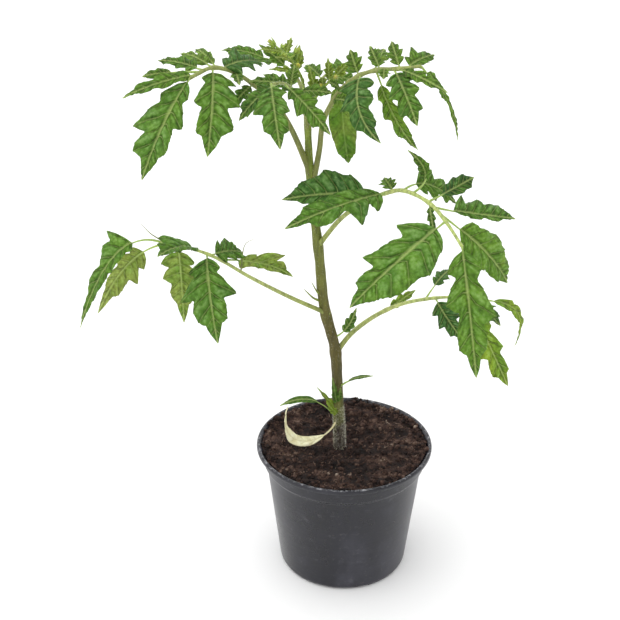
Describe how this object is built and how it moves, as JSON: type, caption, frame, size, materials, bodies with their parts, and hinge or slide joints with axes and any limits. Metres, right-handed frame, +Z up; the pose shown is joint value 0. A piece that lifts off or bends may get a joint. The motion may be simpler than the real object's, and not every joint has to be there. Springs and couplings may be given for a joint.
{
  "type": "tomato plant in a pot",
  "caption": "Young tomato plant with lobed compound leaves and flower buds, on a leaning stem in a round dark plastic nursery pot of soil.",
  "frame": {"origin": "middle of the pot's underside, on the surface that the pot stands on", "axes": "+Z up along the pot, -Y towards the plant's front, +X to the right seen from the front"},
  "size_m": [0.313, 0.2057, 0.4003],
  "materials": {
    "pot_plastic": "satin",
    "potting_mix": "matte",
    "stem_skin": "matte",
    "leaf_stalk": "matte",
    "leaf_green": "matte",
    "withered_leaf": "matte",
    "flower_bud": "matte"
  },
  "bodies": {
    "root": {"flower_buds_left": "flower_bud", "flower_buds_right": "flower_bud", "lower_left_leaf_stalk": "leaf_stalk", "lower_left_leaflet_end": "leaf_green", "lower_left_leaflet_end_back": "leaf_green", "lower_left_leaflet_front": "leaf_green", "lower_left_leaflet_inner_back": "leaf_green", "lower_left_leaflet_inner_top": "leaf_green", "lower_left_leaflet_outer_back": "leaf_green", "lower_left_leaflet_outer_top": "leaf_green", "lower_right_leaf_stalk": "leaf_stalk", "lower_right_leaflet_back_outer": "leaf_green", "lower_right_leaflet_back_top": "leaf_green", "lower_right_leaflet_end": "leaf_green", "lower_right_leaflet_front_inner": "leaf_green", "lower_right_leaflet_front_outer": "leaf_green", "main_stem": "stem_skin", "middle_right_leaf_stalk": "leaf_stalk", "middle_right_leaflet_back": "leaf_green", "middle_right_leaflet_back_top": "leaf_green", "middle_right_leaflet_end": "leaf_green", "middle_right_leaflet_front": "leaf_green", "middle_right_leaflet_inner_low": "leaf_green", "middle_right_leaflet_inner_top": "leaf_green", "middle_right_leaflet_outer_low": "leaf_green", "middle_right_leaflet_outer_top": "leaf_green", "middle_right_leaflet_upright": "leaf_green", "pot": "pot_plastic", "seed_leaf_left": "leaf_green", "seed_leaf_right": "leaf_green", "side_shoot": "leaf_green", "soil": "potting_mix", "top_back_leaf_stalk": "leaf_stalk", "top_back_leaflet_end": "leaf_green", "top_back_leaflet_left": "leaf_green", "top_back_leaflet_right": "leaf_green", "top_front_leaf_stalk": "leaf_stalk", "top_front_leaflet_end": "leaf_green", "top_front_leaflet_left": "leaf_green", "top_front_leaflet_right": "leaf_green", "top_front_leaflet_right_inner": "leaf_green", "top_right_back_leaf_stalk": "leaf_stalk", "top_right_back_leaflet_end": "leaf_green", "top_right_back_leaflet_right": "leaf_green", "upper_left_leaf_stalk": "leaf_stalk", "upper_left_leaflet_back": "leaf_green", "upper_left_leaflet_end": "leaf_green", "upper_left_leaflet_front": "leaf_green", "upper_left_leaflet_inner_back": "leaf_green", "upper_left_leaflet_outer": "leaf_green", "upper_left_leaflet_outer_back": "leaf_green", "upper_right_leaf_stalk": "leaf_stalk", "upper_right_leaflet_back": "leaf_green", "upper_right_leaflet_end": "leaf_green", "upper_right_leaflet_front": "leaf_green", "upper_right_leaflet_hanging": "leaf_green", "upper_right_leaflet_hanging_back": "leaf_green", "upper_right_leaflet_inner_back": "leaf_green", "upper_right_leaflet_outer_back": "leaf_green", "withered_seed_leaf": "withered_leaf"}
  },
  "joints": []
}
